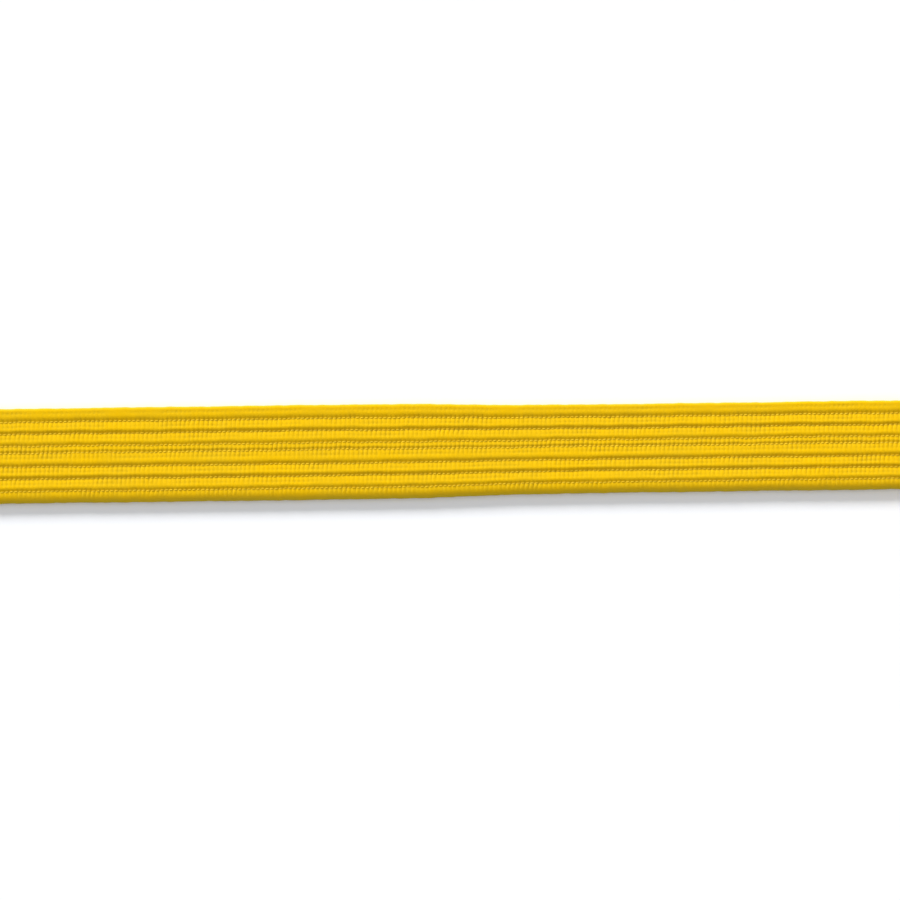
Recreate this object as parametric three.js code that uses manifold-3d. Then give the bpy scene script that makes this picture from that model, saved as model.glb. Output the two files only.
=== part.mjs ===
// A martial arts belt: a stitched cotton strap, laid out flat at one end and rolled up at the other.
// Millimetres. +X runs along the flat stretch towards the roll, +Y across the belt, +Z up.
// The origin is under the middle of the whole object, on the surface that it lies on.

import * as THREE from 'three';
import { mergeVertices } from 'three/addons/utils/BufferGeometryUtils.js';
import Module from 'manifold-3d';

// The belt as a whole.
const beltLength = 2400; // tip to tip, along its middle
const beltWidth = 40;
const beltThickness = 4.4; // over the ribs
const cornerCut = 1.1; // the folded edge's rounding, as a chamfer

// How it lies: a flat stretch, then a roll that stands on it.
const flatRun = 522;
const eyeRadius = 22; // the innermost turn's, at the middle of the belt
const stepsPerTurn = 8;
const turnGap = 0.35; // clear space between two turns
const cutOvershoot = 0.12; // a cut runs this far past the surface, short of the next turn

// The cover: one strip of cloth folded round the core, its edges meeting on the back.
const faceWall = 0.8; // cloth over the flat of the core, with its puffed ribs
const edgeWall = 1.2; // cloth at the two long edges
const tipWall = 1.5; // cloth tucked in at each tip
const seamSlit = 0.4; // where the two folded edges meet

// The core: flat strips of cotton, one on another.
const plyCount = 4;
const plyGap = 0.2;

// Seven rows of lockstitch, each with a needle thread on the face and a bobbin thread on the back.
const edgeMargin = 5.05; // long edge to the outermost row
const innerRowOffset = 4.45; // middle of the belt to the innermost pair of rows
const seamRowOffset = 1.5; // middle of the belt to the odd row, beside the seam
const grooveDepth = 0.5; // each row pulls the cloth down into a groove
const grooveHalfWidth = 0.9;
const threadGap = 0.2; // clear space between a thread and its groove
const threadRecess = 0.03; // a thread lies this far below the ribs

// A box of stitching closes each tip.
const boxTipMargin = 3; // tip to the near side of the box
const boxEdgeMargin = 2.6; // long edge to the box
const boxLength = 6;
const boxThreadWidth = 0.9;
const boxThreadDepth = 0.15;
const rowEndClearance = 1; // the rows stop this far short of the box

const coverYellow = 0xf2c317;
const threadYellow = 0xe6b81c;
const cottonWhite = 0xe9e4d6;

// Sizes that follow from those.
const stepAngle = (2 * Math.PI) / stepsPerTurn;
const halfThickness = beltThickness / 2;
const halfWidth = beltWidth / 2;
const mitre = 1 / Math.cos(stepAngle / 2);
const turnPitch = (beltThickness + turnGap) * mitre;
const chordShare = Math.sin(stepAngle / 2) / (stepAngle / 2); // a facet's length over its arc's
const rollLength = beltLength - flatRun;
const openRadius = Math.sqrt(eyeRadius ** 2 + (rollLength * turnPitch) / (Math.PI * chordShare));
const rollSteps = Math.round(((openRadius - eyeRadius) / turnPitch) * stepsPerTurn); // whole facets
const meanRadius = rollLength / (chordShare * rollSteps * stepAngle);
const rollRadius = meanRadius + (turnPitch * rollSteps) / (2 * stepsPerTurn);
const rightReach = rollRadius - turnPitch / 4 + halfThickness * mitre;
const tipX = -(flatRun + rightReach) / 2;
const rollX = tipX + flatRun;
const rollZ = halfThickness + rollRadius;

const outerRow = halfWidth - edgeMargin;
const middleRow = (outerRow + innerRowOffset) / 2;
const rows = [outerRow, middleRow, innerRowOffset, seamRowOffset, -innerRowOffset, -middleRow, -outerRow];
const seamY = (innerRowOffset + seamRowOffset) / 2;
const boxGrooveDepth = threadRecess + boxThreadDepth + threadGap; // shallower than a row's groove
const rowInset = boxTipMargin + boxLength + threadGap + rowEndClearance;

const wasm = await Module();
wasm.setup();

// ---- The route that every long piece follows ----

function rollPoint(angle) {
  const radius = rollRadius - (turnPitch * angle) / (2 * Math.PI);
  return new THREE.Vector2(rollX + radius * Math.sin(angle), rollZ - radius * Math.cos(angle));
}

const routePoints = [new THREE.Vector2(tipX, halfThickness)];
for (let step = 0; step <= rollSteps; step++) {
  routePoints.push(rollPoint(step * stepAngle));
}

// The direction that the belt's face looks in, on the stretch from one point to the next.
function faceNormal(from, to) {
  const along = to.clone().sub(from).normalize();
  return new THREE.Vector2(-along.y, along.x);
}

// The route with both tips set back by the same length: a point and a mitred normal at each bend.
function stations(inset) {
  const points = routePoints.map((point) => point.clone());
  const last = points.length - 1;
  const tailStep = points[last - 1].clone().sub(points[last]).setLength(inset);
  points[0].x += inset;
  points[last].add(tailStep);
  return points.map((point, i) => {
    const before = faceNormal(points[Math.max(i - 1, 0)], points[Math.max(i, 1)]);
    const after = faceNormal(points[Math.min(i, last - 1)], points[Math.min(i + 1, last)]);
    const normal = before.clone().add(after).divideScalar(1 + before.dot(after));
    return { point, normal };
  });
}

// A section, drawn as across and height, drawn out along the route.
function alongBelt(section, inset) {
  const stops = stations(inset);
  const steps = stops.length - 1;
  const geometry = new THREE.ExtrudeGeometry(new THREE.Shape(section), {
    depth: steps,
    steps,
    bevelEnabled: false,
  });
  const position = geometry.getAttribute('position');
  for (let i = 0; i < position.count; i++) {
    const { point, normal } = stops[Math.round(position.getZ(i))];
    const across = position.getX(i);
    const height = position.getY(i);
    position.setXYZ(i, point.x + normal.x * height, across, point.y + normal.y * height);
  }
  geometry.computeVertexNormals();
  return geometry;
}

// ---- Cutting ----

function toSolid(geometry) {
  const bare = geometry.clone();
  bare.deleteAttribute('normal');
  bare.deleteAttribute('uv');
  const merged = mergeVertices(bare, 1e-4);
  const vertProperties = new Float32Array(merged.getAttribute('position').array);
  const triVerts = new Uint32Array(merged.getIndex().array);
  return new wasm.Manifold(new wasm.Mesh({ numProp: 3, vertProperties, triVerts }));
}

function toGeometry(solid) {
  const mesh = solid.getMesh();
  const geometry = new THREE.BufferGeometry();
  geometry.setAttribute('position', new THREE.BufferAttribute(new Float32Array(mesh.vertProperties), 3));
  geometry.setIndex(new THREE.BufferAttribute(new Uint32Array(mesh.triVerts), 1));
  geometry.computeVertexNormals();
  return geometry;
}

// ---- Sections, as across and height ----

function grooveAt(row, side) {
  const rib = side * halfThickness;
  return [
    new THREE.Vector2(row - side * grooveHalfWidth, rib),
    new THREE.Vector2(row, rib - side * grooveDepth),
    new THREE.Vector2(row + side * grooveHalfWidth, rib),
  ];
}

// One face with its grooves and the chamfered edge that it runs into.
function coverHalf(side) {
  const order = side > 0 ? [...rows].reverse() : rows;
  return [
    ...order.flatMap((row) => grooveAt(row, side)),
    new THREE.Vector2(side * (halfWidth - cornerCut), side * halfThickness),
    new THREE.Vector2(side * halfWidth, side * (halfThickness - cornerCut)),
    new THREE.Vector2(side * halfWidth, -side * (halfThickness - cornerCut)),
    new THREE.Vector2(side * (halfWidth - cornerCut), -side * halfThickness),
  ];
}

// The hollow for the core, with the seam's slit leading out of it through the back.
function hollowSection() {
  const y = halfWidth - edgeWall;
  const z = halfThickness - faceWall;
  const slitBottom = -halfThickness - cutOvershoot;
  return [
    new THREE.Vector2(-y, -z),
    new THREE.Vector2(seamY - seamSlit / 2, -z),
    new THREE.Vector2(seamY - seamSlit / 2, slitBottom),
    new THREE.Vector2(seamY + seamSlit / 2, slitBottom),
    new THREE.Vector2(seamY + seamSlit / 2, -z),
    new THREE.Vector2(y, -z),
    new THREE.Vector2(y, z),
    new THREE.Vector2(-y, z),
  ];
}

function plySection(index) {
  const coreHeight = beltThickness - 2 * faceWall;
  const plyHeight = (coreHeight - (plyCount + 1) * plyGap) / plyCount;
  const bottom = -coreHeight / 2 + plyGap + index * (plyHeight + plyGap);
  const y = halfWidth - edgeWall - plyGap;
  return [
    new THREE.Vector2(-y, bottom),
    new THREE.Vector2(y, bottom),
    new THREE.Vector2(y, bottom + plyHeight),
    new THREE.Vector2(-y, bottom + plyHeight),
  ];
}

// A thread fills its groove apart from the clear space; side is 1 on the face and -1 on the back.
function threadSection(row, side) {
  const slope = grooveDepth / grooveHalfWidth;
  const depth = grooveDepth - threadGap * Math.hypot(1, slope) - threadRecess;
  const half = depth / slope;
  const top = halfThickness - threadRecess;
  return [
    new THREE.Vector2(row + side * half, side * top),
    new THREE.Vector2(row - side * half, side * top),
    new THREE.Vector2(row, side * (top - depth)),
  ];
}

// ---- The boxes of stitching at the tips ----

// A tip's own axes: X into the belt, Y across it and Z out of its face, from the end of the route.
function tipFrame(end, next, outward) {
  const along = next.clone().sub(end).normalize();
  const xAxis = new THREE.Vector3(along.x, 0, along.y);
  const zAxis = new THREE.Vector3(outward.x, 0, outward.y);
  const yAxis = zAxis.clone().cross(xAxis);
  return new THREE.Matrix4().makeBasis(xAxis, yAxis, zAxis).setPosition(end.x, 0, end.y);
}

function rectanglePath(path, x, y, length, width) {
  path.moveTo(x, y);
  path.lineTo(x + length, y);
  path.lineTo(x + length, y + width);
  path.lineTo(x, y + width);
  path.closePath();
  return path;
}

// A flat ring as wide as the box, grown by a clearance on both sides of its thread.
function boxRing(clearance, low, high) {
  const x = boxTipMargin - clearance;
  const y = -(halfWidth - boxEdgeMargin) - clearance;
  const length = boxLength + 2 * clearance;
  const width = -2 * y;
  const wall = boxThreadWidth + 2 * clearance;
  const ring = rectanglePath(new THREE.Shape(), x, y, length, width);
  const eye = rectanglePath(new THREE.Path(), x + wall, y + wall, length - 2 * wall, width - 2 * wall);
  ring.holes.push(eye);
  const geometry = new THREE.ExtrudeGeometry(ring, { depth: high - low, bevelEnabled: false });
  return geometry.translate(0, 0, low);
}

function boxThread(frame, side) {
  const outer = side * (halfThickness - threadRecess);
  const inner = outer - side * boxThreadDepth;
  return boxRing(0, Math.min(inner, outer), Math.max(inner, outer)).applyMatrix4(frame);
}

function boxGroove(frame, side) {
  const outer = side * (halfThickness + cutOvershoot);
  const inner = side * (halfThickness - boxGrooveDepth);
  return boxRing(threadGap, Math.min(inner, outer), Math.max(inner, outer)).applyMatrix4(frame);
}

// ---- The pieces ----

const [outerEnd, outerNext] = routePoints;
const [innerNext, innerEnd] = routePoints.slice(-2);
const tips = {
  outer: tipFrame(outerEnd, outerNext, faceNormal(outerEnd, outerNext)),
  inner: tipFrame(innerEnd, innerNext, faceNormal(innerNext, innerEnd)),
};
const sides = { face: 1, back: -1 };

const coverCloth = new THREE.MeshStandardMaterial({ color: coverYellow, roughness: 0.85, metalness: 0 });
const sewingThread = new THREE.MeshStandardMaterial({ color: threadYellow, roughness: 0.6, metalness: 0 });
const coreCotton = new THREE.MeshStandardMaterial({ color: cottonWhite, roughness: 0.95, metalness: 0 });

const belt = new THREE.Group();

function addPiece(name, geometry, material) {
  const piece = new THREE.Mesh(geometry, material.clone());
  piece.name = name;
  belt.add(piece);
}

function coverGeometry() {
  const section = [...coverHalf(1), ...coverHalf(-1)];
  let cover = toSolid(alongBelt(section, 0));
  cover = cover.subtract(toSolid(alongBelt(hollowSection(), tipWall)));
  for (const frame of Object.values(tips)) {
    for (const side of Object.values(sides)) {
      cover = cover.subtract(toSolid(boxGroove(frame, side)));
    }
  }
  return toGeometry(cover);
}

addPiece('cover', coverGeometry(), coverCloth);

for (let index = 0; index < plyCount; index++) {
  addPiece(`core_ply_${index + 1}`, alongBelt(plySection(index), tipWall + plyGap), coreCotton);
}

rows.forEach((row, index) => {
  addPiece(`needle_thread_${index + 1}`, alongBelt(threadSection(row, 1), rowInset), sewingThread);
  addPiece(`bobbin_thread_${index + 1}`, alongBelt(threadSection(row, -1), rowInset), sewingThread);
});

for (const [tipName, frame] of Object.entries(tips)) {
  for (const [sideName, side] of Object.entries(sides)) {
    addPiece(`${tipName}_tip_box_${sideName}`, boxThread(frame, side), sewingThread);
  }
}

export default belt;
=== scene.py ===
import bpy
import numpy as np
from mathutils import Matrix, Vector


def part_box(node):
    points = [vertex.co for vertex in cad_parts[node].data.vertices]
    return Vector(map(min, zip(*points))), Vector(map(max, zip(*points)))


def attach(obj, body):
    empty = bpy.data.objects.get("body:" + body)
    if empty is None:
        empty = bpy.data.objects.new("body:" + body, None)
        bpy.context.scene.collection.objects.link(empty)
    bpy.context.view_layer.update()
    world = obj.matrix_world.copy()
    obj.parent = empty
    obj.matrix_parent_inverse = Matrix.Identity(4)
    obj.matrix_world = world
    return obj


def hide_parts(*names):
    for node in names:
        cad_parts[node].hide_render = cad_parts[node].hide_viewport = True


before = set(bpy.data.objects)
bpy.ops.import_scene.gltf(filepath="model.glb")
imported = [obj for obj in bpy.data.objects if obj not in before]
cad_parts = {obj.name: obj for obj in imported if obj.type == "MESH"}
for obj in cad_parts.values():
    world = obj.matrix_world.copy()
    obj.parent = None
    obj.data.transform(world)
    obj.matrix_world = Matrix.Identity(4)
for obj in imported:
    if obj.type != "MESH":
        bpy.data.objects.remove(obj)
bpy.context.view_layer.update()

# the belt lies flat from its outer tip, then winds up into a roll that stands on it
belt = {
    "length": 2.4,  # tip to tip
    "thickness": 0.0044,  # over the ribs
    "flatRun": 0.522,  # outer tip to where the roll lifts
    "rollTurns": 7.5,
    "rollPitch": 0.00437,  # one turn to the next, rib pressed on rib
    "rollSlack": 0.00028,  # how far the roll strays from a true spiral
    "stitchPitch": 0.00198,
    "view": (-0.0705, 0.391),  # middle and width of the stretch that is looked at
}
coverLow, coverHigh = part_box("cover")
halfWidth = (coverHigh[1] - coverLow[1]) / 2
halfThick = belt["thickness"] / 2
tipX = coverLow[0]
rollX = tipX + belt["flatRun"]
rollAngle = belt["rollTurns"] * 2 * np.pi
rollLength = belt["length"] - belt["flatRun"]
rollRadius = rollLength / rollAngle + belt["rollPitch"] * belt["rollTurns"] / 2
rollZ = halfThick + rollRadius
rowY = [sum(corner[1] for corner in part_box(f"needle_thread_{k}")) / 2 for k in range(1, 8)]
seamY = (rowY[2] + rowY[3]) / 2
stitch = belt["stitchPitch"]
viewX, viewWidth = belt["view"]


def smoothNoise(at, seed, waves, reach):
    # a slow wander of about the given reach, made of sines with seeded phases
    rng = np.random.default_rng(seed)
    total = np.zeros_like(at)
    for wave in waves:
        phase = rng.uniform(0, 2 * np.pi)
        total += np.sin(2 * np.pi * at / wave + phase) * rng.uniform(0.5, 1.0)
    return total * reach / len(waves) ** 0.5


def route(s):
    # point and face normal in the XZ plane, for lengths from the outer tip
    past = np.clip(s - belt["flatRun"], 0, None)
    inside = np.clip(rollRadius ** 2 - belt["rollPitch"] * past / np.pi, 1e-8, None)
    angle = (rollRadius - np.sqrt(inside)) * 2 * np.pi / belt["rollPitch"]
    lift = (1 - np.cos(angle)) / 2
    slack = np.sin(2 * angle + 0.7) + 0.6 * np.sin(3 * angle + 2.1)  # a lopsided roll
    slack = lift * belt["rollSlack"] * slack
    radius = rollRadius - belt["rollPitch"] * angle / (2 * np.pi) + slack
    x = np.where(past > 0, rollX + radius * np.sin(angle), tipX + s)
    z = np.where(past > 0, rollZ - radius * np.cos(angle), halfThick)
    return x, z, -np.sin(angle), np.cos(angle)


studio = {
    "distance": 1.7,
    "turn": -0.75,  # degrees, the belt runs slightly uphill to the right
    "aim": 0.0002,  # how far behind the belt's middle line the camera looks
    "keyPower": 4.55,
    "keyAngle": 14.5,  # how soft the key is, in degrees
    "keyHeight": 21.5,  # above the far side, in degrees
    "keySwing": 24,  # from straight behind the belt, in degrees
    "fill": 0.26,  # from all round
    "fillAbove": 0.72,  # and more from overhead
    "fillPower": 2,  # how fast that fades towards the sides
    "floorTone": (0.885, 0.90, 0.93),
    "floorRoughness": 0.9,
    "floorGloss": 0.1,
    "floorSize": 60,
    "farthest": 100,  # the camera sees no further than this
}

print("camera, light and floor")
bpy.ops.object.select_all(action="DESELECT")
bpy.ops.object.camera_add(
    location=(viewX, studio["aim"], studio["distance"]),
    rotation=(0, 0, np.radians(studio["turn"])),
)
camera = bpy.context.object
camera.data.lens = camera.data.sensor_width * studio["distance"] / viewWidth
camera.data.clip_end = studio["farthest"]
bpy.context.scene.camera = camera
bpy.context.scene.view_settings.view_transform = "Standard"

bpy.ops.object.light_add(
    type="SUN",
    location=(0, 1, 1),
    rotation=(np.radians(studio["keyHeight"] - 90), 0, np.radians(studio["keySwing"])),
)
key = bpy.context.object
key.name = "keyLight"
key.data.energy = studio["keyPower"]
key.data.angle = np.radians(studio["keyAngle"])

world = bpy.data.worlds.new("studio")
bpy.context.scene.world = world
world.use_nodes = True
worldTree = world.node_tree
fill = worldTree.nodes["Background"]
fill.inputs["Color"].default_value = (1, 1, 1, 1)
# light from all round, and more of it from overhead
direction = worldTree.nodes.new("ShaderNodeTexCoord")
upward = worldTree.nodes.new("ShaderNodeSeparateXYZ")
worldTree.links.new(direction.outputs["Generated"], upward.inputs[0])
overhead = worldTree.nodes.new("ShaderNodeMath")
overhead.operation = "POWER"
overhead.use_clamp = True
worldTree.links.new(upward.outputs["Z"], overhead.inputs[0])
overhead.inputs[1].default_value = studio["fillPower"]
level = worldTree.nodes.new("ShaderNodeMath")
level.operation = "MULTIPLY_ADD"
worldTree.links.new(overhead.outputs[0], level.inputs[0])
level.inputs[1].default_value = studio["fillAbove"]
level.inputs[2].default_value = studio["fill"]
worldTree.links.new(level.outputs[0], fill.inputs["Strength"])
# the camera itself sees plain white behind everything
backdrop = worldTree.nodes.new("ShaderNodeBackground")
backdrop.inputs["Color"].default_value = (1, 1, 1, 1)
seen = worldTree.nodes.new("ShaderNodeLightPath")
chooser = worldTree.nodes.new("ShaderNodeMixShader")
worldTree.links.new(seen.outputs["Is Camera Ray"], chooser.inputs[0])
worldTree.links.new(fill.outputs[0], chooser.inputs[1])
worldTree.links.new(backdrop.outputs[0], chooser.inputs[2])
worldTree.links.new(chooser.outputs[0], worldTree.nodes["World Output"].inputs["Surface"])

bpy.ops.mesh.primitive_plane_add(size=studio["floorSize"], location=(0, 0, 0))
floor = bpy.context.object
floor.name = "floor"


def newMaterial(name):
    material = bpy.data.materials.new(name)
    material.use_nodes = True
    return material, material.node_tree, material.node_tree.nodes["Principled BSDF"]


def mathNode(tree, kind, first, second=None):
    node = tree.nodes.new("ShaderNodeMath")
    node.operation = kind
    for socket, value in zip(node.inputs, (first, second)):
        if value is None:
            continue
        if isinstance(value, (int, float)):
            socket.default_value = value
        else:
            tree.links.new(value, socket)
    return node.outputs[0]


def makeTwillGroup():
    # a twill: each weft yarn passes over two warp yarns and under one, a step further each time
    group = bpy.data.node_groups.new("twillWeave", "ShaderNodeTree")
    newSocket = group.interface.new_socket
    newSocket("Cloth", in_out="INPUT", socket_type="NodeSocketVector")
    newSocket("Yarns per metre", in_out="INPUT", socket_type="NodeSocketFloat")
    newSocket("Height", in_out="OUTPUT", socket_type="NodeSocketFloat")
    newSocket("Weft", in_out="OUTPUT", socket_type="NodeSocketFloat")
    start = group.nodes.new("NodeGroupInput")
    end = group.nodes.new("NodeGroupOutput")
    split = group.nodes.new("ShaderNodeSeparateXYZ")
    group.links.new(start.outputs["Cloth"], split.inputs[0])
    u = mathNode(group, "MULTIPLY", split.outputs["X"], start.outputs["Yarns per metre"])
    v = mathNode(group, "MULTIPLY", split.outputs["Y"], start.outputs["Yarns per metre"])
    column = mathNode(group, "FLOOR", u)
    line = mathNode(group, "FLOOR", v)
    step = mathNode(group, "ADD", column, line)
    place = mathNode(group, "FRACT", mathNode(group, "MULTIPLY", step, 1 / 3))
    over = mathNode(group, "GREATER_THAN", place, 0.5)
    alongYarn = mathNode(group, "MULTIPLY", mathNode(group, "FRACT", u), np.pi)
    acrossYarn = mathNode(group, "MULTIPLY", mathNode(group, "FRACT", v), np.pi)
    warp = mathNode(group, "SINE", alongYarn)
    weft = mathNode(group, "SINE", acrossYarn)
    warpShare = mathNode(group, "MULTIPLY", warp, over)
    under = mathNode(group, "SUBTRACT", 1.0, over)
    weftShare = mathNode(group, "MULTIPLY", weft, under)
    group.links.new(mathNode(group, "ADD", warpShare, weftShare), end.inputs["Height"])
    group.links.new(under, end.inputs["Weft"])
    return group


dyeing = {
    "driftScale": 55,  # a broad drift over the whole belt
    "driftDetail": 3,
    "slubScale": (900, 260, 1),  # slubs, fine along the belt and longer across it
    "slubDetail": 2,
    "driftShare": 0.5,  # the slubs have the rest
    "onset": 0.40,  # below this the mottle doesn't show
    "strength": 0.6,
}


def makeDyeAndShadeGroup():
    # the yarn's uneven dyed colour: a drift, and slubs along the yarns that cross the belt;
    # and painted shade, a deeper colour in the rows, creases and needle holes and along the long
    # edges
    group = bpy.data.node_groups.new("unevenDyeAndShade", "ShaderNodeTree")
    newSocket = group.interface.new_socket
    for name in ("Cloth", "Place"):
        newSocket(name, in_out="INPUT", socket_type="NodeSocketVector")
    for name in ("Colour", "Mottle and shade colour"):
        newSocket(name, in_out="INPUT", socket_type="NodeSocketColor")
    newSocket("Depth", in_out="INPUT", socket_type="NodeSocketFloat")
    newSocket("Colour", in_out="OUTPUT", socket_type="NodeSocketColor")
    newSocket("Slub", in_out="OUTPUT", socket_type="NodeSocketFloat")
    start = group.nodes.new("NodeGroupInput")
    end = group.nodes.new("NodeGroupOutput")
    broad = group.nodes.new("ShaderNodeTexNoise")
    broad.inputs["Scale"].default_value = dyeing["driftScale"]
    broad.inputs["Detail"].default_value = dyeing["driftDetail"]
    group.links.new(start.outputs["Place"], broad.inputs["Vector"])
    stretch = group.nodes.new("ShaderNodeMapping")
    stretch.inputs["Scale"].default_value = dyeing["slubScale"]
    group.links.new(start.outputs["Cloth"], stretch.inputs["Vector"])
    slub = group.nodes.new("ShaderNodeTexNoise")
    slub.inputs["Scale"].default_value = 1
    slub.inputs["Detail"].default_value = dyeing["slubDetail"]
    group.links.new(stretch.outputs[0], slub.inputs["Vector"])
    drift = mathNode(group, "MULTIPLY", broad.outputs["Fac"], dyeing["driftShare"])
    slubs = mathNode(group, "MULTIPLY", slub.outputs["Fac"], 1 - dyeing["driftShare"])
    mottle = mathNode(group, "SUBTRACT", mathNode(group, "ADD", drift, slubs), dyeing["onset"])
    mottle = mathNode(group, "MULTIPLY", mottle, dyeing["strength"])
    # the painted shade adds to the mottle, towards the same deeper colour
    amount = mathNode(group, "ADD", mottle, start.outputs["Depth"])
    blend = group.nodes.new("ShaderNodeMix")
    blend.data_type = "RGBA"
    blend.clamp_factor = True
    group.links.new(amount, blend.inputs["Factor"])
    group.links.new(start.outputs["Colour"], blend.inputs["A"])
    group.links.new(start.outputs["Mottle and shade colour"], blend.inputs["B"])
    group.links.new(blend.outputs["Result"], end.inputs["Colour"])
    group.links.new(slub.outputs["Fac"], end.inputs["Slub"])
    return group


def groupNode(tree, group):
    node = tree.nodes.new("ShaderNodeGroup")
    node.node_tree = group
    return node


cloth = {
    "colour": (0.770, 0.458, 0.003, 1),
    # the mottle of the dyed yarn goes towards this colour, and so does the painted shade
    "mottleAndShadeColour": (0.51, 0.385, 0.026, 1),
    "roughness": 0.86,
    "weftRoughness": 0.06,  # how much rougher the weft is than the warp
    "yarns": 2200,  # in a metre
    "weaveBump": 0.00008,
    "weaveStrength": 0.6,
    "gloss": 0.06,
    "sheen": 0.05,
    "sheenRoughness": 0.5,
    "sheenTint": (1, 0.85, 0.06, 1),
    "glossTint": (1, 0.8, 0.06, 1),
}
thread = {
    "twistScale": 900,
    "twistWaver": 1.5,
    "shade": (0.72, 0.51, 0.030, 1),
    "light": (0.86, 0.61, 0.045, 1),
    "bump": 0.00004,
    "bumpStrength": 0.5,
    "roughness": 0.65,
    "gloss": 0.15,
}
cotton = {
    "fibreScale": 900,
    "fibreDetail": 4,
    "shade": (0.72, 0.68, 0.58, 1),
    "light": (0.86, 0.83, 0.74, 1),
    "bump": 0.0001,
    "roughness": 0.95,
}


def makeCoverCloth():
    material, tree, shader = newMaterial("coverCloth")
    where = tree.nodes.new("ShaderNodeTexCoord")
    weave = groupNode(tree, twillWeave)
    weave.inputs["Yarns per metre"].default_value = cloth["yarns"]
    tree.links.new(where.outputs["UV"], weave.inputs["Cloth"])
    # painted shade in the rows, creases, needle holes and along the long edges, carried on the
    # mesh
    paintedShade = tree.nodes.new("ShaderNodeAttribute")
    paintedShade.attribute_name = "paintedShade"
    dyeAndShadeNode = groupNode(tree, unevenDyeAndShade)
    dyeAndShadeNode.inputs["Colour"].default_value = cloth["colour"]
    dyeAndShadeNode.inputs["Mottle and shade colour"].default_value = cloth["mottleAndShadeColour"]
    tree.links.new(where.outputs["UV"], dyeAndShadeNode.inputs["Cloth"])
    tree.links.new(where.outputs["Object"], dyeAndShadeNode.inputs["Place"])
    tree.links.new(paintedShade.outputs["Fac"], dyeAndShadeNode.inputs["Depth"])
    tree.links.new(dyeAndShadeNode.outputs["Colour"], shader.inputs["Base Color"])
    bump = tree.nodes.new("ShaderNodeBump")
    bump.inputs["Strength"].default_value = cloth["weaveStrength"]
    bump.inputs["Distance"].default_value = cloth["weaveBump"]
    tree.links.new(weave.outputs["Height"], bump.inputs["Height"])
    tree.links.new(bump.outputs[0], shader.inputs["Normal"])
    rough = mathNode(tree, "MULTIPLY_ADD", weave.outputs["Weft"], cloth["weftRoughness"])
    rough.node.inputs[2].default_value = cloth["roughness"] - cloth["weftRoughness"] / 2
    tree.links.new(rough, shader.inputs["Roughness"])
    shader.inputs["Specular IOR Level"].default_value = cloth["gloss"]
    shader.inputs["Specular Tint"].default_value = cloth["glossTint"]
    shader.inputs["Sheen Weight"].default_value = cloth["sheen"]
    shader.inputs["Sheen Roughness"].default_value = cloth["sheenRoughness"]
    shader.inputs["Sheen Tint"].default_value = cloth["sheenTint"]
    return material


def makeSewingThread():
    material, tree, shader = newMaterial("sewingThread")
    where = tree.nodes.new("ShaderNodeTexCoord")
    twist = tree.nodes.new("ShaderNodeTexWave")
    twist.wave_type = "BANDS"
    twist.bands_direction = "DIAGONAL"
    twist.inputs["Scale"].default_value = thread["twistScale"]
    twist.inputs["Distortion"].default_value = thread["twistWaver"]
    tree.links.new(where.outputs["Object"], twist.inputs["Vector"])
    tone = tree.nodes.new("ShaderNodeMix")
    tone.data_type = "RGBA"
    tone.inputs["A"].default_value = thread["shade"]
    tone.inputs["B"].default_value = thread["light"]
    tree.links.new(twist.outputs["Fac"], tone.inputs["Factor"])
    tree.links.new(tone.outputs["Result"], shader.inputs["Base Color"])
    bump = tree.nodes.new("ShaderNodeBump")
    bump.inputs["Strength"].default_value = thread["bumpStrength"]
    bump.inputs["Distance"].default_value = thread["bump"]
    tree.links.new(twist.outputs["Fac"], bump.inputs["Height"])
    tree.links.new(bump.outputs[0], shader.inputs["Normal"])
    shader.inputs["Roughness"].default_value = thread["roughness"]
    shader.inputs["Specular IOR Level"].default_value = thread["gloss"]
    shader.inputs["Specular Tint"].default_value = cloth["glossTint"]
    return material


def makeCoreCotton():
    material, tree, shader = newMaterial("coreCotton")
    where = tree.nodes.new("ShaderNodeTexCoord")
    fibres = tree.nodes.new("ShaderNodeTexNoise")
    fibres.inputs["Scale"].default_value = cotton["fibreScale"]
    fibres.inputs["Detail"].default_value = cotton["fibreDetail"]
    tree.links.new(where.outputs["Object"], fibres.inputs["Vector"])
    tone = tree.nodes.new("ShaderNodeMix")
    tone.data_type = "RGBA"
    tone.inputs["A"].default_value = cotton["shade"]
    tone.inputs["B"].default_value = cotton["light"]
    tree.links.new(fibres.outputs["Fac"], tone.inputs["Factor"])
    tree.links.new(tone.outputs["Result"], shader.inputs["Base Color"])
    bump = tree.nodes.new("ShaderNodeBump")
    bump.inputs["Distance"].default_value = cotton["bump"]
    tree.links.new(fibres.outputs["Fac"], bump.inputs["Height"])
    tree.links.new(bump.outputs[0], shader.inputs["Normal"])
    shader.inputs["Roughness"].default_value = cotton["roughness"]
    return material


def makeFloorTone():
    material, tree, shader = newMaterial("floorTone")
    shader.inputs["Base Color"].default_value = (*studio["floorTone"], 1)
    shader.inputs["Roughness"].default_value = studio["floorRoughness"]
    shader.inputs["Specular IOR Level"].default_value = studio["floorGloss"]
    return material


print("materials")
twillWeave = makeTwillGroup()
unevenDyeAndShade = makeDyeAndShadeGroup()
coverCloth = makeCoverCloth()
sewingThread = makeSewingThread()
coreCotton = makeCoreCotton()
floor.data.materials.append(makeFloorTone())


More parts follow.
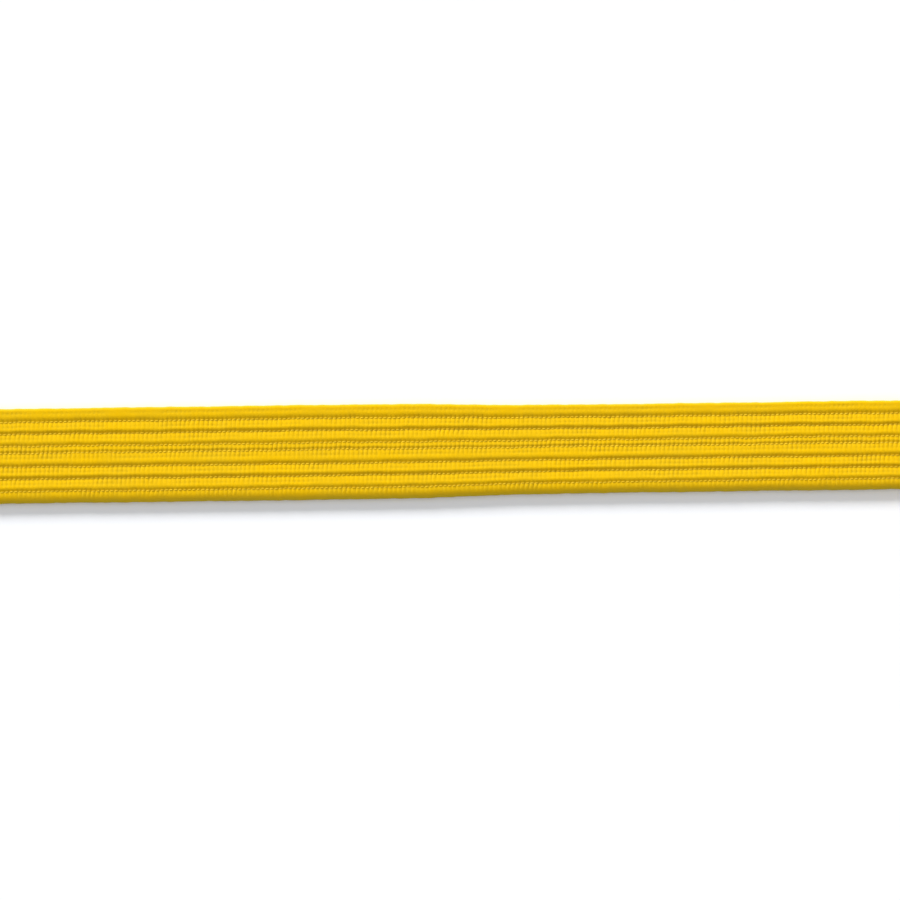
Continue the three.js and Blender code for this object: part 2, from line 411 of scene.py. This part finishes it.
# the cover's surface, over its whole length
skin = {
    "ribShare": 0.93,  # how much of the belt's thickness the ribs have, below their crests
    "crown": 0.00016,  # a rib is highest just before it falls
    "crestStart": 0.42,  # where the crest starts, as a share of the way over the rib
    "crestRun": 0.52,
    "farCrest": 1.7,  # the rib along the far edge leans towards its row by this power
    "wideRib": 0.004,  # a narrower rib than this has no crest
    "farRound": 0.0010,  # how far in from the far long edge the fold starts to turn down
    "farPower": 3.0,  # the far edge is folded sharper
    "nearRound": 0.0050,  # the same for the near one
    "nearPower": 1.6,
    "raggedLong": 0.00010,  # how much the long edges waver, over centimetres
    "raggedShort": 0.00006,  # and over millimetres
    "tipRound": 0.0016,  # how far from a tip the belt starts to thin
    "tipThin": 0.16,  # what is left of it at the very end, squared
    "tipCorner": 0.0022,
    "tipStill": 0.004,  # nearer a tip than this, no lean bends the cloth
    "swell": 0.034,  # the belt is this much wider or narrower on each side of the place below
    "swellPlace": 0.009,  # beyond the middle of the view
    "swellRun": 0.026,
    "swellFade": 0.33,  # and even again this far away
}
rows = {
    "drop": (
        0.00046, 0.00047, 0.00030, 0.00034,
        0.00044, 0.00047, 0.00034,
    ),  # how deep each pulls
    "dropStray": 0.16,  # as a share of its depth
    "stray": (
        -0.00073, -0.00048, -0.00024, -0.00035,
        -0.00028, -0.00007, -0.00010,
    ),  # they aren't sewn quite true
    "wander": 0.00015,
    "wanderReach": 0.006,  # how far a row's wander shifts the cloth beside it
    "rise": 0.0027,  # from a row up to the full rib, going towards the near edge
    "fall": 0.0016,  # from the full rib down to the next row
    "holeDepth": 0.00024,
    "holeWidth": 0.00035,
    "seamDepth": 0.0007,
    "seamWidth": 0.00022,
}
pucker = {
    "height": 0.00055,
    "sizes": (0.25, 1.0),  # of one bead and another
    "gather": 0.85,  # how strong the gathering is along a row
    "gatherStray": 0.38,  # and how much it comes and goes
    "gatherLimits": (0.2, 1.25),
    "base": 0.42,  # how far up a bead the cloth's own level is
    "reach": 0.0024,  # on the near side of a row, where its puckers spread
    "back": 0.0012,  # and on its far side
    "backShare": 0.4,
    "bulge": 0.8,  # below 1 a bead is fuller and stands closer to its row
    "pinch": 0.6,  # and the crease between two beads is narrower
    "faint": 0.22,  # what is left of them further over the rib
    "faintReach": 0.005,
    "lean": 0.0003,
    "leanReach": 0.0046,
    "rimDepth": 0.00029,  # a dotted line where the puckers end, part way over the rib
    "rimWidth": 0.00042,
    "rimDots": 0.65,  # how much of it is dots, and the rest is a line
    "rimLevel": 0.6,  # how strong it is on average, and how much that comes and goes
    "rimStray": 0.4,
    "farRim": 0.0020,  # the same line beside the far edge, this far in from it
}
# painted shade: how much of the deeper colour goes where the cloth lies in shade
shadeTint = {
    "row": 0.12,  # how much painted shade lies in a row that is fullDepth deep
    "fullDepth": 0.0008,
    # painted shade in the creases between beads, in the dotted line where the puckers end, and
    # in the needle holes
    "crease": 0.42,
    "rim": 0.75,
    "hole": 0.6,
    "near": 0.9,  # painted shade along the near edge, and how far in it goes
    "nearReach": 0.0034,
    "far": 0.8,  # painted shade along the far edge, and where it starts and how fast it comes
    "farReach": 0.0006,
    "farRun": 0.0005,
}
box = {
    "tipMargin": 0.0034,
    "edgeMargin": 0.0030,
    "length": 0.0052,
    "drop": 0.00035,
    "width": 0.0006,
}
seeds = {  # for each kind of unevenness; a row adds its own number
    "raggedLong": 5,
    "raggedShort": 6,
    "wander": 40,
    "lean": 70,
    "depth": 90,
    "rim": 110,
    "gather": 130,
    "beads": 300,
}
stitchCount = int(belt["length"] / stitch) + 4


def bellAt(distance, width):
    # 1 on a line, fading to nothing on both sides of it
    return np.exp(-((distance / width) ** 2))


def wanderOf(s, k):
    # how far row k strays sideways
    wander = smoothNoise(s, seeds["wander"] + k, (0.11, 0.052, 0.024, 0.013), rows["wander"])
    return rows["stray"][k] + wander


def rowPull(s, y):
    # how far the rows pull the surface in
    pull = np.zeros(np.broadcast(s, y).shape)
    for k, row in enumerate(rowY):
        beyond = row - y
        reach = np.where(beyond > 0, rows["rise"], rows["fall"])
        uneven = smoothNoise(
            s, seeds["depth"] + k, (0.075, 0.031, 0.014, 0.007), rows["dropStray"])
        depth = (1 + uneven) * rows["drop"][k]
        full = 0.5 + 0.5 * np.cos(np.pi * np.clip(np.abs(beyond) / reach, 0, 1))
        pull = np.maximum(pull, full * depth)
    return pull


def ribCrown(y):
    # the rise along each wide rib to its crest
    crown = np.zeros_like(y)
    for high, low in zip(rowY[:-1], rowY[1:]):
        if high - low > skin["wideRib"]:
            place = (high - y) / (high - low)
            into = np.clip((place - skin["crestStart"]) / skin["crestRun"], 0, 1)
            crown += np.sin(np.pi * into)
    fromFar = np.clip((halfWidth - y) / (halfWidth - rowY[0]), 0, 1)
    crown += np.sin(np.pi * fromFar ** skin["farCrest"])
    return crown * skin["crown"]


def envelope(y):
    turn = np.where(y > 0, skin["farRound"], skin["nearRound"])
    power = np.where(y > 0, skin["farPower"], skin["nearPower"])
    into = np.clip((np.abs(y) - (halfWidth - turn)) / turn, 0, 1)
    return halfThick * np.clip(1 - into ** power, 0, 1) ** (1 / power)


def puckers(s, y, side):
    # each stitch gathers the cloth beside its row into a bead between two creases
    raised = np.zeros(np.broadcast(s, y).shape)
    creaseShade = np.zeros_like(raised)
    moved = np.zeros_like(raised)
    for k, row in enumerate(rowY):
        rng = np.random.default_rng(seeds["beads"] + 10 * k + side)
        sizes = rng.uniform(*pucker["sizes"], stitchCount)
        beyond = row - y
        reach = np.where(beyond > 0, pucker["reach"], pucker["back"])
        place = np.clip(np.abs(beyond) / reach, 0, 1)
        weight = np.sin(np.pi * place ** pucker["bulge"]) ** pucker["bulge"]
        weight = weight * np.where(beyond > 0, 1.0, pucker["backShare"])
        faint = np.sin(np.pi * np.clip(beyond / pucker["faintReach"], 0, 1)) ** 0.5
        weight = np.maximum(weight, pucker["faint"] * faint)
        turns = s / stitch + 0.25 * (k % 2)  # every other row is a quarter stitch on
        gather = smoothNoise(
            s, seeds["gather"] + k, (0.13, 0.06, 0.027), pucker["gatherStray"])
        gather = np.clip(pucker["gather"] + gather, *pucker["gatherLimits"])
        size = sizes[np.clip(np.floor(turns).astype(int), 0, stitchCount - 1)] * gather
        valley = 1 - np.abs(np.sin(np.pi * turns)) ** pucker["pinch"]
        raised += weight * size * (pucker["base"] - valley) * pucker["height"]
        # painted shade in the crease between two beads
        creaseShade += weight * size * valley
        rim = np.zeros_like(beyond)
        if k < len(rowY) - 1:
            rim = bellAt(beyond - pucker["reach"], pucker["rimWidth"])
        if k == 0:
            farRim = bellAt(y - halfWidth + pucker["farRim"], pucker["rimWidth"])
            rim = np.maximum(rim, farRim)
        dots = np.abs(np.cos(np.pi * turns)) ** 3
        dotted = 1 - pucker["rimDots"] + pucker["rimDots"] * dots
        fading = smoothNoise(
            s, seeds["rim"] + k, (0.09, 0.041, 0.017), pucker["rimStray"])
        fading = fading + pucker["rimLevel"]
        raised -= rim * pucker["rimDepth"] * dotted * fading
        # painted shade along the dotted line
        creaseShade += rim * dotted * fading * shadeTint["rim"]
        hole = bellAt(beyond, rows["holeWidth"]) * valley
        raised -= hole * rows["holeDepth"]
        # painted shade in the needle hole
        creaseShade += hole * shadeTint["hole"]
        lean = smoothNoise(s, seeds["lean"] + k, (0.09, 0.031, 0.012), 1.0)
        lean = lean * pucker["lean"]
        moved += lean * np.sin(np.pi * np.clip(beyond / pucker["leanReach"], 0, 1))
    return raised, creaseShade, moved


def swellAt(s):
    # how wide the belt is here, against its mean
    x = tipX + s - (viewX + skin["swellPlace"])
    fade = np.exp(-((x / skin["swellFade"]) ** 4))
    return 1 - skin["swell"] * np.tanh(x / skin["swellRun"]) * fade


def boxLines(fromTip, y):
    # distance to the rectangle of stitching at a tip
    midway = box["tipMargin"] + box["length"] / 2
    across = np.abs(y) - (halfWidth - box["edgeMargin"])
    along = np.abs(fromTip - midway) - box["length"] / 2
    outside = np.hypot(np.clip(across, 0, None), np.clip(along, 0, None))
    return np.abs(outside + np.minimum(np.maximum(across, along), 0))


def skinAt(s, y, side):
    # for a place on one side: where the cover's outside lies along, across and out from
    # the belt's middle, and how much painted shade it has
    fromTip = np.minimum(s, belt["length"] - s)
    wander = sum(
        wanderOf(s, k) * np.clip(1 - np.abs(y - row) / rows["wanderReach"], 0, 1)
        for k, row in enumerate(rowY)
    )
    into = np.clip(1 - fromTip / skin["tipCorner"], 0, 1)
    corner = 1 - skin["tipCorner"] / halfWidth * (1 - np.sqrt(1 - into ** 2))
    edge = np.clip(np.abs(y) / halfWidth, 0, 1) ** 3 * np.sign(y)
    ragged = smoothNoise(
        s, seeds["raggedLong"], (0.06, 0.027, 0.011), skin["raggedLong"]) * edge
    ragged = ragged + smoothNoise(
        s, seeds["raggedShort"], (0.0093, 0.0067, 0.0047), skin["raggedShort"]) * edge
    across = (y + wander) * swellAt(s) * corner + ragged
    pull = rowPull(s, y)
    drop = pull - ribCrown(y)
    if side < 0:
        seam = bellAt(y - seamY, rows["seamWidth"]) * rows["seamDepth"]
        drop = np.maximum(drop, seam)
    drop = drop + box["drop"] * bellAt(boxLines(fromTip, y), box["width"])
    raised, creaseShade, moved = puckers(s, y, side)
    rounded = envelope(y) * skin["ribShare"]
    flatShare = envelope(y) / halfThick
    height = rounded - drop * flatShare + raised * flatShare ** 2
    closing = np.clip(1 - fromTip / skin["tipRound"], 0, 1)
    height = height * np.sqrt(np.clip(1 - closing ** 2, skin["tipThin"], 1))
    inside = np.clip(fromTip / skin["tipStill"], 0, 1)
    # painted shade along both long edges, stronger on the near one
    nearShade = (-y - (halfWidth - shadeTint["nearReach"])) / shadeTint["nearReach"]
    farShade = (y - (halfWidth - shadeTint["farReach"])) / shadeTint["farRun"]
    edgeShade = np.clip(nearShade, 0, 1) ** 2 * shadeTint["near"]
    edgeShade = edgeShade + np.clip(farShade, 0, 1) * shadeTint["far"]
    # painted shade in the rows, in the creases, dotted lines and needle holes, and along the
    # edges
    paintedShade = pull / shadeTint["fullDepth"] * shadeTint["row"] + creaseShade * shadeTint["crease"] + edgeShade
    return s + moved * inside, across, side * height, paintedShade


def ringPlaces(fine):
    # y and side of places round the belt, from its far edge over the face and back under it
    def ribs(wide, narrow):
        inner = []
        for high, low in zip(rowY[:-1], rowY[1:]):
            shares = wide if high - low > skin["wideRib"] else narrow
            inner += [high + (low - high) * share for share in shares]
        return inner + [rowY[-1]]

    wideFine = (0, 0.055, 0.12, 0.2, 0.29, 0.38, 0.46, 0.55, 0.66, 0.77, 0.86, 0.94)
    narrowFine = (0, 0.1, 0.22, 0.36, 0.5, 0.64, 0.78, 0.9)
    wideCoarse, narrowCoarse = (0, 0.13, 0.3, 0.48, 0.7, 0.88), (0, 0.25, 0.5, 0.75)
    farInset = (
        0.00001, 0.00005, 0.00012, 0.00025, 0.0005, 0.0009,
        0.0015, 0.0020, 0.0025, 0.0032, 0.0039, 0.0045,
    )
    nearInset = (
        0.0047, 0.0044, 0.0040, 0.0035, 0.0030, 0.0024,
        0.0018, 0.0013, 0.0008, 0.0004, 0.00015, 0.00004,
    )
    farEdge = [halfWidth - inset for inset in farInset]
    nearEdge = [inset - halfWidth for inset in nearInset]
    coarse = ribs(wideCoarse, narrowCoarse)
    face = farEdge + (ribs(wideFine, narrowFine) if fine else coarse) + nearEdge
    back = farEdge + coarse + nearEdge
    lips = [seamY + offset * rows["seamWidth"] for offset in (-1.6, -0.8, 0.8, 1.6, 0)]
    back = sorted(set(back + lips), reverse=True)
    y = np.array([halfWidth] + face + [-halfWidth] + back[::-1] + [halfWidth])
    side = np.array([1] * (len(face) + 2) + [-1] * len(back) + [1])
    return y, side


def wrapGrid(name, lengths, y, placeAt):
    # a grid primitive wrapped round the belt, and closed along the ring and at both ends
    columns, rings = len(lengths), len(y)
    bpy.ops.object.select_all(action="DESELECT")
    bpy.ops.mesh.primitive_grid_add(x_subdivisions=columns - 1, y_subdivisions=rings - 1, size=2)
    piece = bpy.context.object
    piece.name = name
    mesh = piece.data
    flat = np.empty(len(mesh.vertices) * 3)
    mesh.vertices.foreach_get("co", flat)
    flat = flat.reshape(-1, 3)
    column = np.rint((flat[:, 0] + 1) / 2 * (columns - 1)).astype(int)
    ring = np.rint((flat[:, 1] + 1) / 2 * (rings - 1)).astype(int)
    along, across, height, paintedShade = placeAt()
    x, z, normalX, normalZ = route(along[column, ring])
    h = height[column, ring]
    points = np.empty_like(flat)
    points[:, 0] = x + normalX * h
    points[:, 1] = across[column, ring]
    points[:, 2] = z + normalZ * h
    mesh.vertices.foreach_set("co", points.ravel())
    # the painted shade is kept on the mesh for the cloth's colour
    layer = mesh.attributes.new("paintedShade", "FLOAT", "POINT")
    layer.data.foreach_set("value", paintedShade[column, ring])
    middle = columns // 2
    around = np.hypot(np.diff(across[middle]), np.diff(height[middle]))
    around = np.concatenate([[0], np.cumsum(around)])
    corner = np.empty(len(mesh.loops), dtype=np.int32)
    mesh.loops.foreach_get("vertex_index", corner)
    cut = np.stack([lengths[column[corner]], around[ring[corner]]], axis=1)
    mesh.uv_layers.active.data.foreach_set("uv", cut.ravel())
    bpy.ops.object.mode_set(mode="EDIT")
    bpy.ops.mesh.select_mode(type="VERT")
    bpy.ops.mesh.select_all(action="SELECT")
    bpy.ops.mesh.remove_doubles(threshold=1e-7)
    bpy.ops.mesh.select_all(action="SELECT")
    bpy.ops.mesh.fill_holes(sides=0)
    bpy.ops.mesh.select_all(action="DESELECT")
    bpy.ops.mesh.select_face_by_sides(number=4, type="GREATER")
    bpy.ops.mesh.region_to_loop()
    bpy.ops.mesh.mark_sharp()  # so that two lengths shade alike where they meet
    bpy.ops.mesh.select_mode(type="VERT")
    bpy.ops.mesh.select_all(action="SELECT")
    bpy.ops.mesh.normals_make_consistent(inside=False)
    bpy.ops.object.mode_set(mode="OBJECT")
    bpy.ops.object.shade_smooth()
    mesh.update()
    return piece


def makeCover(name, lengths, fine):
    y, side = ringPlaces(fine)

    def placeAt():
        rings = [skinAt(lengths, place, which) for place, which in zip(y, side)]
        along, across, height, paintedShade = (np.stack(part, axis=1) for part in zip(*rings))
        for part in (along, across, height, paintedShade):
            part[:, -1] = part[:, 0]
        return along, across, height, paintedShade

    piece = wrapGrid(name, lengths, y, placeAt)
    piece.data.materials.append(coverCloth)
    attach(piece, "root")
    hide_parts("cover")
    print(f"{name}: {len(piece.data.vertices)} points")


def columnsBetween(start, end, perStitch):
    # lengths that fall on whole fractions of a stitch
    first, last = round(start / stitch * perStitch), round(end / stitch * perStitch)
    return np.arange(first, last + 1) * stitch / perStitch


cover = {
    "cuts": (0.144, 0.282, 0.420, 0.795, 1.330, 1.865),  # where one length of the mesh ends
    "flatColumns": 8,  # in a stitch
    "turnColumns": 4,
    "rollColumns": 2,
    "tipColumns": (0, 0.0002, 0.0005, 0.0009, 0.0013),  # closer, where a tip rounds off
    "firstStitch": 0.0018,
    "innerEnd": 0.010,  # the last of the roll, which has closer columns again
    "innerStep": 0.0005,
    "innerGaps": (0.0006, 0.0016),  # before them, and from the last of them to the tip
}

print("cover")
tipColumns = np.array(cover["tipColumns"])
cuts = [round(length / stitch) * stitch for length in cover["cuts"]]
firstColumns = columnsBetween(cover["firstStitch"], cuts[0], cover["flatColumns"])
makeCover("cover_flat_1", np.concatenate([tipColumns, firstColumns]), True)
for part in (1, 2):
    columns = columnsBetween(cuts[part - 1], cuts[part], cover["flatColumns"])
    makeCover(f"cover_flat_{part + 1}", columns, True)
makeCover("cover_turn", columnsBetween(cuts[2], cuts[3], cover["turnColumns"]), False)
for part in (1, 2):
    columns = columnsBetween(cuts[part + 2], cuts[part + 3], cover["rollColumns"])
    makeCover(f"cover_roll_{part}", columns, False)
innerTip = belt["length"] - cover["innerEnd"]
before, after = cover["innerGaps"]
lastColumns = np.concatenate([
    columnsBetween(cuts[5], innerTip, cover["rollColumns"]),
    np.arange(innerTip + before, belt["length"] - after, cover["innerStep"]),
    belt["length"] - tipColumns[::-1],
])
makeCover("cover_roll_3", lastColumns, False)


core = {
    "ply": 0.00033,  # pressed thin by the stitching
    "pitch": 0.00038,
    "lift": 0.00002,
    "taper": 0.985,  # of the design's width, to stay inside the wavering edges
    "flatColumns": 40,
    "rollStart": 0.002,  # past the flat stretch
    "rollStep": 0.003,
}


def makePly(k):
    low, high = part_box(f"core_ply_{k}")
    halfPly = (high[1] - low[1]) / 2
    bottom = (k - 3) * core["pitch"] + core["lift"]
    top = bottom + core["ply"]
    inset = low[0] - tipX
    lengths = np.concatenate([
        np.linspace(inset, belt["flatRun"], core["flatColumns"]),
        np.arange(
            belt["flatRun"] + core["rollStart"], belt["length"] - inset, core["rollStep"]),
        [belt["length"] - inset],
    ])
    y = np.array([halfPly, halfPly, -halfPly, -halfPly, halfPly])
    heights = np.array([bottom, top, top, bottom, bottom])

    def placeAt():
        across = y * swellAt(lengths)[:, None] * core["taper"]
        height = np.tile(heights, (len(lengths), 1))
        along = np.tile(lengths[:, None], (1, len(y)))
        return along, across, height, np.zeros_like(height)

    piece = wrapGrid(f"core_ply_{k}_cotton", lengths, y, placeAt)
    bpy.ops.object.shade_flat()
    piece.data.materials.append(coreCotton)
    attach(piece, "root")
    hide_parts(f"core_ply_{k}")


print("core plies")
for k in range(1, 5):
    makePly(k)


sewing = {
    "radius": 0.00017,
    "lift": 0.00012,  # above the cloth, between two holes
    "rowCrest": 1.3,  # and so many times that in the middle of a stitch
    "boxCrest": 1.4,
    "dip": 0.0005,  # how far it goes down each hole
    "slant": 0.00009,
    "tipGap": 0.0022,
    "points": 4,  # along one stitch
}


def threadFrom(name, points, closed=False):
    # a thread drawn as a path with a round section, made a mesh
    bpy.ops.object.select_all(action="DESELECT")
    curve = bpy.data.curves.new(name, "CURVE")
    curve.dimensions = "3D"
    curve.bevel_depth = sewing["radius"]
    curve.bevel_resolution = 0
    curve.use_fill_caps = not closed
    spline = curve.splines.new("POLY")
    spline.points.add(len(points) - 1)
    spline.points.foreach_set("co", np.column_stack([points, np.ones(len(points))]).ravel())
    spline.use_cyclic_u = closed
    piece = bpy.data.objects.new(name, curve)
    bpy.context.collection.objects.link(piece)
    bpy.context.view_layer.objects.active = piece
    piece.select_set(True)
    bpy.ops.object.convert(target="MESH")
    bpy.ops.object.shade_smooth()
    return bpy.context.object


def sewn(s, y, lift, side):
    # points on the cover's outside, raised by lift
    along, across, height = skinAt(s, y, side)[:3]
    x, z, normalX, normalZ = route(along)
    h = height + side * lift
    return np.column_stack([x + normalX * h, across, z + normalZ * h])


def finishThread(piece, node):
    piece.data.materials.append(sewingThread)
    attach(piece, "root")
    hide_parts(node)


def liftAt(phase, crest):
    # down a hole, out of it, over the cloth and back
    low, high = sewing["lift"], sewing["lift"] * crest
    return np.array([-sewing["dip"], low, high, low])[phase]


def makeRow(k, side):
    count = sewing["points"]
    s = columnsBetween(sewing["tipGap"], belt["length"] - sewing["tipGap"], count)
    phase = (np.rint(s / stitch * count).astype(int) + (k % 2)) % count
    lift = liftAt(phase, sewing["rowCrest"])
    slant = np.array([0, -1, 0, 1])[phase] * sewing["slant"]
    row = np.full_like(s, rowY[k]) + slant
    node = f"{'needle' if side > 0 else 'bobbin'}_thread_{k + 1}"
    finishThread(threadFrom(f"{node}_stitches", sewn(s, row, lift, side)), node)


def makeBox(tipName, sideName):
    side = 1 if sideName == "face" else -1
    halfLine = halfWidth - box["edgeMargin"]
    near, far = box["tipMargin"], box["tipMargin"] + box["length"]
    acrossCount = round(2 * halfLine / stitch) * sewing["points"]
    alongCount = round(box["length"] / stitch) * sewing["points"]
    acrossLine = np.linspace(halfLine, -halfLine, acrossCount + 1)[:-1]
    alongLine = np.linspace(near, far, alongCount + 1)[:-1]
    y = np.concatenate([
        acrossLine, np.full(alongCount, -halfLine), -acrossLine, np.full(alongCount, halfLine),
    ])
    s = np.concatenate([
        np.full(acrossCount, near), alongLine, np.full(acrossCount, far), near + far - alongLine,
    ])
    phase = np.arange(len(s)) % sewing["points"]
    lift = liftAt(phase, sewing["boxCrest"])
    if tipName == "inner":
        s = belt["length"] - s
    node = f"{tipName}_tip_box_{sideName}"
    finishThread(threadFrom(f"{node}_stitches", sewn(s, y, lift, side), closed=True), node)


print("stitching")
for k in range(len(rowY)):
    makeRow(k, 1)
    makeRow(k, -1)
for tipName in ("outer", "inner"):
    for sideName in ("face", "back"):
        makeBox(tipName, sideName)
